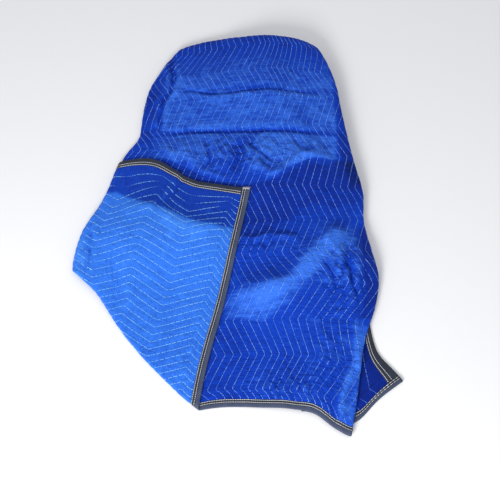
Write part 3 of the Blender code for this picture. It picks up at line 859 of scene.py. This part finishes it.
def clothMaterial(name, finish):
    made, tree, shader = newMaterial(name)
    flat = attribute(tree, "flatPlace", "Vector")
    paintedShading = attribute(tree, "paintedShading", "Fac")
    row = attribute(tree, "row", "Fac")
    weave = weaveHeight(tree, flat, finish["weave"])
    toRow = maths(tree, "ABSOLUTE", maths(tree, "SUBTRACT", maths(tree, "FRACT", row), 0.5))
    paintedGrooveShade = spread(tree, toRow, 0.40, 0.50, 0.0, 1.0)
    blotches = noise(tree, flat, 7.0, 4.0)
    worn = noise(tree, flat, 38.0, 3.0)
    speckle = noise(tree, flat, 420.0, 2.0)
    puckers = noise(tree, puckerPlace(tree, flat, row), 1.0, 3.0, 0.6)
    shift = weighted(tree, [(maths(tree, "SUBTRACT", value, 0.5), clothDetail[name]) for name, value in
                            (("blotches", blotches), ("worn", worn), ("speckle", speckle), ("puckers",
                                                                                            puckers))])
    shift = maths(tree, "MAXIMUM", maths(tree, "MULTIPLY", shift, finish["uneven"]), finish["darkest"])
    # painted light and shade: the painted shading plus the random tone picks the colour, from shade and deep through
    # plain to pale
    level = maths(tree, "ADD", paintedShading, shift)
    low = spread(tree, level, -1.0, 0.0, 0.0, 1.0)
    high = spread(tree, level, 0.0, 1.0, 0.0, 1.0)
    lowest = spread(tree, level, -2.0, -1.0, 0.0, 1.0)
    colour = mixed(tree, lowest, finish["shade"], finish["deep"])
    colour = mixed(tree, low, colour, finish["plain"])
    colour = mixed(tree, high, colour, finish["pale"])
    # painted shade in the sewn rows
    colour = mixed(tree, maths(tree, "MULTIPLY", paintedGrooveShade, clothDetail["paintedGrooveShade"]), colour, finish["deep"])
    tree.links.new(colour, shader.inputs["Base Color"])
    rough = spread(tree, worn, 0.2, 0.8, finish["roughness"] - 0.08, finish["roughness"] + 0.10)
    tree.links.new(rough, shader.inputs["Roughness"])
    shader.inputs["Sheen Weight"].default_value = finish["sheen"]
    shader.inputs["Sheen Roughness"].default_value = 0.45
    shader.inputs["Sheen Tint"].default_value = finish["sheenTint"]
    shader.inputs["Specular IOR Level"].default_value = 0.12
    small = sharpened(tree, noise(tree, flat, 75.0, 2.0, 0.5))
    large = sharpened(tree, noise(tree, flat, 27.0, 2.0, 0.5))
    pulled = sharpened(tree, puckers)
    height = weighted(tree, ((small, clothDetail["smallCrease"]), (large, clothDetail["largeCrease"]),
                             (pulled, clothDetail["pulledCrease"])))
    height = maths(tree, "MULTIPLY", height, attribute(tree, "crumple", "Fac"))
    height = maths(tree, "ADD", height, maths(tree, "MULTIPLY", weave, clothDetail["weaveRise"]))
    addBump(tree, shader, height, 1.0, clothDetail["bump"])
    return made


tape = {
    "width": 0.025,
    "gap": 0.0005,            # from the cloth to the tape
    "thick": 0.0009,
    "bulge": 0.0003,
    "step": 0.005,
    "dark": (0.007, 0.010, 0.018),
    "plain": (0.020, 0.028, 0.055),
    # outer is the colour of the painted highlight on the hem tape's rim
    "outer": (0.075, 0.100, 0.195),
    "rib": 0.0016,
    "bump": 0.0004,
    "rows": (0.0224, 0.0145),  # depth of its two sewn rows from the blanket's edge
    "rowEnds": (0.004, 0.006),
    "pressedShare": 0.75,     # how thick it stays where layers lie on it
}


def tapeMaterial():
    made, tree, shader = newMaterial("boundTape")
    flat = attribute(tree, "flatPlace", "Vector")
    turn = 2 * math.pi / tape["rib"]
    ribs = maths(tree, "SINE", maths(tree, "MULTIPLY", attribute(tree, "tapeLength", "Fac"), turn))
    wander = noise(tree, flat, 30.0, 3.0)
    fine = noise(tree, flat, 500.0, 2.0)
    amount = weighted(tree, ((wander, 0.6), (fine, 0.5)))
    colour = mixed(tree, spread(tree, amount, 0.25, 0.85, 0.0, 1.0), tape["dark"], tape["plain"])
    # painted highlight: the hem tape's rim goes paler towards outer
    outward = spread(tree, attribute(tree, "depth", "Fac"), 0.008, 0.0135, 0.85, 0.0)
    colour = mixed(tree, maths(tree, "MULTIPLY", outward, amount), colour, tape["outer"])
    tree.links.new(colour, shader.inputs["Base Color"])
    rough = spread(tree, wander, 0.2, 0.8, 0.50, 0.66)
    tree.links.new(rough, shader.inputs["Roughness"])
    shader.inputs["Sheen Weight"].default_value = 0.10
    shader.inputs["Sheen Roughness"].default_value = 0.4
    shader.inputs["Sheen Tint"].default_value = (0.75, 0.80, 1.0, 1.0)
    shader.inputs["Specular IOR Level"].default_value = 0.4
    addBump(tree, shader, maths(tree, "ADD", maths(tree, "MULTIPLY", ribs, 0.5), fine), 0.5, tape["bump"])
    return made


def threadMaterial(name, dark, light):
    made, tree, shader = newMaterial(name)
    place = tree.nodes.new("ShaderNodeTexCoord").outputs["Object"]
    change = noise(tree, place, 26.0, 4.0, 0.7)
    colour = mixed(tree, spread(tree, change, 0.3, 0.7, 0.0, 1.0), dark, light)
    tree.links.new(colour, shader.inputs["Base Color"])
    shader.inputs["Roughness"].default_value = 0.55
    shader.inputs["Sheen Weight"].default_value = 0.05
    shader.inputs["Specular IOR Level"].default_value = 0.2
    addBump(tree, shader, noise(tree, place, 900.0, 2.0), 0.4, stitch["bump"])
    return made


# painted light and shade: bands beside a line that runs across ("x") or along ("y"), where the cloth's colour is
# painted deeper for shade or paler for light on its folds and sides
paintedShadingBands = {
    "far end": {"runs": "x", "side": 1, "fade": 0.12, "deep": 0.5, "paintedShading": -0.42,
        "edge": ((-0.50, 0.72), (0.0, 0.74), (0.50, 0.72))},
    "upper middle": {"runs": "x", "side": 1, "fade": 0.012, "deep": 0.38, "paintedShading": 0.45,
        "edge": ((-0.30, 0.46), (-0.137, 0.459), (0.072, 0.446), (0.29, 0.433)), "ends": 0.06},
    "right side": {"runs": "y", "side": 1, "fade": 0.02, "deep": 0.3, "paintedShading": -0.75,
        "edge": ((0.24, 0.334), (0.322, 0.313), (0.45, 0.302), (0.628, 0.296), (0.814, 0.284), (0.95,
                                                                                                0.27)), "ends": 0.03},
    "left side": {"runs": "y", "side": -1, "fade": 0.015, "deep": 0.3, "paintedShading": -0.50,
        "edge": ((0.44, -0.345), (0.591, -0.313), (0.696, -0.287), (0.804, -0.283), (0.95,
                                                                                     -0.27)), "ends": 0.03},
    "bunch": {"runs": "x", "side": -1, "fade": 0.012, "deep": 0.17, "paintedShading": 0.25,
        "edge": ((0.04, 0.445), (0.15, 0.440), (0.29, 0.430)), "ends": 0.03},
    "whole bunch": {"runs": "x", "side": -1, "fade": 0.012, "deep": 0.18, "paintedShading": 0.42,
        "edge": ((-0.33, 0.458), (-0.137, 0.456), (0.072, 0.445), (0.29, 0.430)), "ends": 0.03},
    "seat": {"runs": "x", "side": -1, "fade": 0.016, "deep": 0.26, "paintedShading": -0.85,
        "edge": ((-0.30, 0.360), (-0.180, 0.290), (-0.063, 0.250), (0.063, 0.245), (0.178, 0.312), (0.36,
                                                                                                    0.340))},
    "front band": {"runs": "x", "side": -1, "fade": 0.05, "deep": 0.16, "paintedShading": 0.66,
        "edge": ((-0.07, -0.155), (0.040, -0.132), (0.134, -0.090), (0.203, -0.010), (0.273, 0.060),
                 (0.33, 0.095)),
        "ends": 0.05},
    "front left": {"runs": "y", "side": -1, "fade": 0.09, "deep": 0.3, "paintedShading": -0.35,
        "edge": ((-0.58, 0.02), (-0.35, 0.04), (-0.22, 0.02)), "ends": 0.05},
    "front edge": {"runs": "y", "side": 1, "fade": 0.02, "deep": 0.2, "paintedShading": 0.45,
        "edge": ((-0.64, 0.262), (-0.50, 0.282), (-0.40, 0.322), (-0.28, 0.330)), "ends": 0.04},
    "bulge": {"runs": "y", "side": 1, "fade": 0.01, "deep": 0.2, "paintedShading": -0.75,
        "edge": ((-0.26, 0.362), (-0.206, 0.370), (-0.099, 0.376), (0.0, 0.371), (0.06,
                                                                                  0.365)), "ends": 0.03},
    # painted shade on the flap above its crest
    "flap, upper part": {"level": 1, "runs": "x", "side": 1, "fade": 0.020, "deep": 0.5, "paintedShading": -1.05,
        "edge": ((-0.46, 0.20), (-0.40, 0.165), (-0.294, 0.121), (-0.206, 0.074), (-0.034, 0.047), (0.05,
                                                                                                    0.04))},
    "flap, near its edge": {"level": 1, "runs": "x", "side": -1, "fade": 0.25, "deep": 0.6, "paintedShading": -0.25,
        "edge": ((-0.60, -0.10), (-0.20, -0.16), (0.05, -0.20))},
    "flap, piece at its side": {"level": 1, "runs": "y", "side": -1, "fade": 0.006, "deep": 0.2,
                                "paintedShading": 0.35,
        "edge": ((-0.12, -0.552), (0.0, -0.548), (0.12, -0.538)), "ends": 0.02},
    # painted shade on the corner that shows behind
    "corner behind": {"level": -2, "runs": "x", "side": -1, "fade": 0.01, "deep": 3.0, "paintedShading": -1.75,
        "edge": ((-1.0, 1.5), (0.0, 1.5), (1.0, 1.5))},
}
# painted highlight and painted shade: how much paler a crest and deeper a trough is painted for each metre of its
# height, and the most on each layer
paintedCreaseShading = {"perMetre": 34.0, "top": (-0.6, 0.5), "flap": (-0.8, 0.3)}


# painted light and shade for each flat point: painted highlight on crests and lit bands, painted shade in troughs and
# shaded bands
def paintedShadingOf(u, v):
    x, y, layer = foldPoints(u, v)
    x, y = settle(x, y)
    total = np.zeros(len(x))
    # painted highlight on crests and painted shade in troughs, from the creases' own heights
    for level, field, name in ((0, topField, "top"), (1, flapField, "flap")):
        limits = paintedCreaseShading[name]
        total += layer[level - lowest] * np.clip(paintedCreaseShading["perMetre"] * sampled(field, x, y), *limits)
    for band in paintedShadingBands.values():
        run, off = (x, y) if band["runs"] == "x" else (y, x)
        past = band["side"] * (off - along(run, band["edge"]))
        share = smooth(past / band["fade"]) * (1.0 - smooth((past - 0.5 * band["deep"]) / (0.5 * band["deep"])))
        if "ends" in band:
            share = share * smooth((run - band["edge"][0][0]) / band["ends"] + 1.0)
            share = share * smooth((band["edge"][-1][0] - run) / band["ends"] + 1.0)
        total += layer[band.get("level", 0) - lowest] * band["paintedShading"] * share
    return total


bakeMap = {"acrossSpan": 3.72, "upSpan": 2.05, "margin": 0.004}


def makeCloth():
    columns = gridColumns()
    rows = gridRows()
    u, v = np.meshgrid(columns, rows)
    share = zigzagShare(u, v)
    bent = u + zigzag(v) * share
    shape = bmesh.new()
    grid = [[shape.verts.new((x, y, 0.0)) for x, y in zip(line, height)] for line, height in zip(bent, v)]
    for lower, upper in zip(grid, grid[1:]):
        for a, b, c, d in zip(lower, lower[1:], upper[1:], upper):
            shape.faces.new((a, b, c, d))
    cutAtFolds(shape)
    bmesh.ops.triangulate(shape, faces=shape.faces[:])
    shape.verts.index_update()
    flat = np.array([vert.co[:2] for vert in shape.verts])
    u = flat[:, 0]
    v = flat[:, 1]
    row = (u - zigzag(v) * zigzagShare(u, v) - cloth["bandSeat"]) / rowPitch
    half = halfThickness(u, v, row)
    faceSide, _ = placeOn(u, v, half)
    reverseSide, _ = placeOn(u, v, -half)
    count = len(u)
    triangles = [[vert.index for vert in face.verts] for face in shape.faces]
    faces = list(triangles)
    faces += [[index + count for index in reversed(tri)] for tri in triangles]
    for edge in shape.edges:
        if len(edge.link_faces) == 1:
            loop = edge.link_loops[0]
            start = loop.vert.index
            end = loop.link_loop_next.vert.index
            faces.append([start, start + count, end + count])
            faces.append([start, end + count, end])
    shape.free()
    materials = [clothMaterial("quiltedFace", faceCloth), clothMaterial("quiltedReverse", reverseCloth)]
    points = np.concatenate([faceSide, reverseSide])
    piece = addPiece("quiltedCloth", points, faces, materials)
    both = np.concatenate([flat, flat])
    side = np.repeat([0.0, 1.0], count)
    addAttribute(piece.data, "flatPlace", "FLOAT_VECTOR", np.column_stack([both, side]))
    addAttribute(piece.data, "row", "FLOAT", np.concatenate([row, row]))
    # painted light and shade, for the material to pick its colour by
    addAttribute(piece.data, "paintedShading", "FLOAT", np.tile(paintedShadingOf(u, v), 2))
    x, y, layer = foldPoints(u, v)
    still = cloth["smoothPlace"]
    crumple = still + (1.0 - still) * layer[-lowest] * crumpleOf(*settle(x, y))
    addAttribute(piece.data, "crumple", "FLOAT", np.tile(crumple, 2))
    index = np.zeros(len(faces), dtype=np.int32)
    index[len(triangles):2 * len(triangles)] = 1
    piece.data.polygons.foreach_set("material_index", index)
    # the map for baking has the face on its left half and the reverse on its right
    corner = np.zeros(len(piece.data.loops), dtype=np.int32)
    piece.data.loops.foreach_get("vertex_index", corner)
    acrossMap = both[:, 0] / bakeMap["acrossSpan"] + 0.5 * side + bakeMap["margin"]
    upMap = both[:, 1] / bakeMap["upSpan"] + bakeMap["margin"]
    place = np.column_stack([acrossMap, upMap])
    made = piece.data.uv_layers.new(name="OFBake")
    made.data.foreach_set("uv", place[corner].astype(np.float32).ravel())
    print("quilted cloth", len(faces), "triangles")
    return piece


stitch = {
    "length": 0.0062,
    "pitch": 0.0074,
    "halfWidth": 0.00095,
    "rise": 0.00090,
    "sunk": 0.00030,
    "inFromTape": 0.004,
    "uneven": 0.0009,
    "bump": 0.0003,
}


def stitchMesh(starts, ends, outward):
    # each stitch is a small three-sided bar along its row, its lower side sunk in the cloth
    run = ends - starts
    run /= np.linalg.norm(run, axis=1)[:, None]
    sideways = np.cross(run, outward)
    sideways /= np.linalg.norm(sideways, axis=1)[:, None]
    low = stitch["sunk"] * outward
    wide = stitch["halfWidth"] * sideways
    high = stitch["rise"] * outward
    points = np.stack([starts - low + wide, starts + 0.6 * high, starts - low - wide,
                       ends - low + wide, ends + high, ends - low - wide], axis=1).reshape(-1, 3)
    count = len(starts)
    pattern = np.array([(0, 1, 4), (0, 4, 3), (1, 2, 5), (1, 5, 4), (2, 0, 3), (2, 3, 5), (0, 2, 1), (3,
                                                                                                      4, 5)])
    faces = (pattern[None, :, :] + 6 * np.arange(count)[:, None, None]).reshape(-1, 3)
    return points, faces.tolist()


def sewn(u0, v0, u1, v1, w, side):
    # stitches between two flat points each, on one side of the cloth
    points, normal = placeOn(np.concatenate([u0, u1]), np.concatenate([v0, v1]), np.tile(w * side, 2))
    count = len(u0)
    return stitchMesh(points[:count], points[count:], normal[:count] * side)


def quiltingStitches(name, side, finish):
    us = []
    vs = []
    for row in range(1, rowCount()):
        first = cloth["bandSeat"] + stitch["inFromTape"]
        last = cloth["length"] - cloth["bandSeat"] - stitch["inFromTape"]
        v = np.arange(first, last, stitch["pitch"])
        v = v + stitch["uneven"] * np.sin(5.1 * row + 3 * np.arange(len(v)))
        us.append(np.full(len(v), cloth["bandSeat"] + rowPitch * row))
        vs.append(v)
    base = np.concatenate(us)
    v = np.concatenate(vs)
    ends = []
    for at in (v - stitch["length"] / 2, v + stitch["length"] / 2):
        shift = zigzag(at) * zigzagShare(base, at)
        ends.append((base + shift, at))
    w = np.where(pressed(base, v), cloth["pressedHalf"], cloth["stitchHalf"])
    points, faces = sewn(ends[0][0], ends[0][1], ends[1][0], ends[1][1], w, side)
    print(name, len(faces), "triangles")
    return addPiece(name, points, faces, [finish])


def tapeSection():
    # the tape's closed section: outer side, round the edge, and back inside
    inner = cloth["edgeHalf"] + tape["gap"]
    outer = inner + tape["thick"]
    wide = tape["width"]
    past = tape["gap"] + tape["thick"]
    outside = [(wide, inner + 0.0002), (wide - 0.0006, outer), (0.7 * wide, outer + tape["bulge"]),
               (0.45 * wide, outer + 0.5 * tape["bulge"]), (0.2 * wide, outer + tape["bulge"]), (0.0004,
                                                                                                 outer),
               (-0.75 * past, 0.62 * outer), (-past, 0.0)]
    inside = [(wide, inner), (0.5 * wide, inner), (0.0, inner), (-tape["gap"], 0.5 * inner),
              (-tape["gap"], 0.0)]
    section = outside + [(d, -w) for d, w in reversed(outside[:-1])]
    section += [(d, -w) for d, w in inside[:-1]] + [(d, w) for d, w in reversed(inside)]
    return section


def edgeSpot(edge, station, depth):
    if edge == "hem":
        return station, depth
    if edge == "top":
        return station, cloth["length"] - depth
    if edge == "left":
        return depth, station
    return cloth["width"] - depth, station


def tapeRun(edge):
    past = tape["gap"] + tape["thick"]
    if edge in ("hem", "top"):
        return -past, cloth["width"] + past
    return tape["width"] + 0.0006, cloth["length"] - tape["width"] - 0.0006


def makeTape(edge, node, finish):
    section = tapeSection()
    first, last = tapeRun(edge)
    count = round((last - first) / tape["step"])
    shape = bmesh.new()
    rings = []
    for station in np.linspace(first, last, count + 1):
        rings.append([shape.verts.new((*edgeSpot(edge, station, depth), off)) for depth, off in section])
    size = len(section)
    for one, two in zip(rings, rings[1:]):
        for index in range(size):
            after = (index + 1) % size
            shape.faces.new((one[index], one[after], two[after], two[index]))
    for ring in (rings[0], rings[-1]):
        shape.faces.new(ring)
    bmesh.ops.recalc_face_normals(shape, faces=shape.faces[:])
    cutAtFolds(shape)
    bmesh.ops.triangulate(shape, faces=shape.faces[:])
    shape.verts.index_update()
    spots = np.array([vert.co[:] for vert in shape.verts])
    off = spots[:, 2] * np.where(pressed(spots[:, 0], spots[:, 1]), tape["pressedShare"], 1.0)
    points, _ = placeOn(spots[:, 0], spots[:, 1], off)
    faces = [[vert.index for vert in face.verts] for face in shape.faces]
    shape.free()
    piece = addPiece("tape" + edge.capitalize(), points, faces, [finish])
    addAttribute(piece.data, "flatPlace", "FLOAT_VECTOR", spots)
    addAttribute(piece.data, "tapeLength", "FLOAT", spots[:, 0 if edge in ("hem", "top") else 1])
    # only the hem's tape has a paler rim, a painted highlight where the tape turns round the edge
    depth = spots[:, 1] if edge == "hem" else np.full(len(spots), tape["width"])
    addAttribute(piece.data, "depth", "FLOAT", depth)
    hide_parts(node)
    print(piece.name, len(faces), "triangles")
    return piece


def tapeStitches(finish):
    starts = []
    ends = []
    for edge in ("hem", "left", "right", "top"):
        first, last = tapeRun(edge)
        for depth in tape["rows"]:
            for station in np.arange(first + tape["rowEnds"][0], last - tape["rowEnds"][1],
                                     stitch["pitch"]):
                starts.append(edgeSpot(edge, station, depth))
                ends.append(edgeSpot(edge, station + stitch["length"], depth))
    starts = np.array(starts)
    ends = np.array(ends)
    outer = cloth["edgeHalf"] + tape["gap"] + tape["thick"] + tape["bulge"]
    w = np.where(pressed(starts[:, 0], starts[:, 1]), tape["pressedShare"] * outer, outer)
    allPoints = []
    allFaces = []
    for side in (1.0, -1.0):
        points, faces = sewn(starts[:, 0], starts[:, 1], ends[:, 0], ends[:, 1], w, side)
        before = sum(len(group) for group in allPoints)
        allPoints.append(points)
        allFaces += [[index + before for index in face] for face in faces]
    print("tape stitches", len(allFaces), "triangles")
    return addPiece("tapeStitches", np.concatenate(allPoints), allFaces, [finish])


fray = {
    "seed": 7,
    "strands": 46,
    "length": 0.012,
    "lengthShare": (0.45, 1.0),
    "thick": 0.0004,
    "taper": 0.7,
    "steps": 5,
    "across": (0.001, 0.024),  # where along the tape's cut end the strands stand
    "below": 0.0022,
    "rooted": 0.004,
    "turn": 0.8,
    "rise": (0.0005, 0.0035),
    "bend": 0.5,
}


def frayedEnd(finish):
    # loose threads where the hem's tape is cut off at the turned corner
    random = np.random.default_rng(fray["seed"])
    off = np.array([-fray["below"]])
    points = []
    faces = []
    for number in range(fray["strands"]):
        depth = np.array([random.uniform(*fray["across"])])
        root, normal = placeOn(np.array([0.001]), depth, off)
        inner, _ = placeOn(np.array([0.012]), depth, off)
        away = (root - inner)[0]
        away /= np.linalg.norm(away)
        up = -normal[0]
        side = np.cross(away, up)
        turn = random.uniform(-fray["turn"], fray["turn"])
        direction = away * math.cos(turn) + side * math.sin(turn)
        size = fray["length"] * random.uniform(*fray["lengthShare"])
        rise = random.uniform(*fray["rise"])
        bend = random.uniform(-fray["bend"], fray["bend"])
        base = len(points)
        for step in range(fray["steps"]):
            t = step / (fray["steps"] - 1)
            spot = root[0] + direction * (size * t - fray["rooted"]) + side * bend * size * t * t
            spot = spot + up * rise * math.sin(math.pi * min(1.0, 0.2 + 0.8 * t))
            width = fray["thick"] * (1.0 - fray["taper"] * t)
            for corner in range(3):
                angle = 2 * math.pi * corner / 3
                points.append(spot + width * (math.cos(angle) * side + math.sin(angle) * up))
        for step in range(fray["steps"] - 1):
            for corner in range(3):
                a = base + 3 * step + corner
                b = base + 3 * step + (corner + 1) % 3
                faces.append([a, b, b + 3, a + 3])
        faces.append([base + 2, base + 1, base])
        end = base + 3 * (fray["steps"] - 1)
        faces.append([end, end + 1, end + 2])
    return addPiece("frayedEnd", np.array(points), faces, [finish])


panel = makeCloth()
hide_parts("quilted_panel")
tapeFinish = tapeMaterial()
tapes = [makeTape(edge, "binding_" + edge, tapeFinish) for edge in ("hem", "left", "right", "top")]
faceThread = threadMaterial("quiltingThread", (0.05, 0.19, 0.76), (0.30, 0.54, 1.00))
reverseThread = threadMaterial("quiltingThreadReverse", (0.16, 0.54, 0.96), (0.42, 0.82, 1.0))
whiteThread = threadMaterial("tapeThread", (0.55, 0.56, 0.56), (0.85, 0.85, 0.84))
sewing = [
    quiltingStitches("stitchesFace", 1.0, faceThread),
    quiltingStitches("stitchesReverse", -1.0, reverseThread),
    tapeStitches(whiteThread),
    frayedEnd(whiteThread),
]
print("cloth, tape and sewing done")

# studio: pale floor, soft light, camera above the blanket at the photo's angle
studio = {
    "floorColour": (0.82, 0.82, 0.83),
    "worldColour": (0.96, 0.97, 1.0),
    "worldStrength": 0.62,
    "keyPower": 150.0,
    "keySize": 1.3,
    "keyPlace": (-1.2, -3.3, 1.9),
    "fillPower": 18.0,
    "fillSize": 2.5,
    "fillPlace": (0.6, -0.8, 3.6),
    "distance": 3.4,
    "elevation": math.radians(62),
    "lens": 72.0,
    "floorHalf": 12.0,
    "floorZ": -0.0011,
}


def addStudio():
    target = -Vector(cloth["middle"])
    floorMesh = bpy.data.meshes.new("floor")
    size = studio["floorHalf"]
    corners = [(a * size, b * size, studio["floorZ"]) for a, b in ((-1, -1), (1, -1), (1, 1), (-1, 1))]
    floorMesh.from_pydata(corners, [], [(0, 1, 2, 3)])
    floor = bpy.data.objects.new("floor", floorMesh)
    bpy.context.scene.collection.objects.link(floor)
    made, _, shader = newMaterial("paleFloor")
    shader.inputs["Base Color"].default_value = (*studio["floorColour"], 1.0)
    shader.inputs["Roughness"].default_value = 0.7
    floorMesh.materials.append(made)
    world = bpy.data.worlds.new("studio")
    world.use_nodes = True
    world.node_tree.nodes["Background"].inputs[0].default_value = (*studio["worldColour"], 1.0)
    world.node_tree.nodes["Background"].inputs[1].default_value = studio["worldStrength"]
    bpy.context.scene.world = world
    for name in ("key", "fill"):
        light = bpy.data.lights.new(name, "AREA")
        light.energy = studio[name + "Power"]
        light.size = studio[name + "Size"]
        lamp = bpy.data.objects.new(name, light)
        lamp.location = Vector(studio[name + "Place"])
        lamp.rotation_euler = (target - lamp.location).to_track_quat("-Z", "Y").to_euler()
        bpy.context.scene.collection.objects.link(lamp)
    camera = bpy.data.cameras.new("camera")
    camera.lens = studio["lens"]
    camera.sensor_width = 36.0
    viewer = bpy.data.objects.new("camera", camera)
    back = Vector((0.0, -math.cos(studio["elevation"]), math.sin(studio["elevation"])))
    viewer.location = target + back * studio["distance"]
    viewer.rotation_euler = (-back).to_track_quat("-Z", "Y").to_euler()
    bpy.context.scene.collection.objects.link(viewer)
    bpy.context.scene.camera = viewer
    bpy.context.scene.view_settings.view_transform = "Standard"


addStudio()
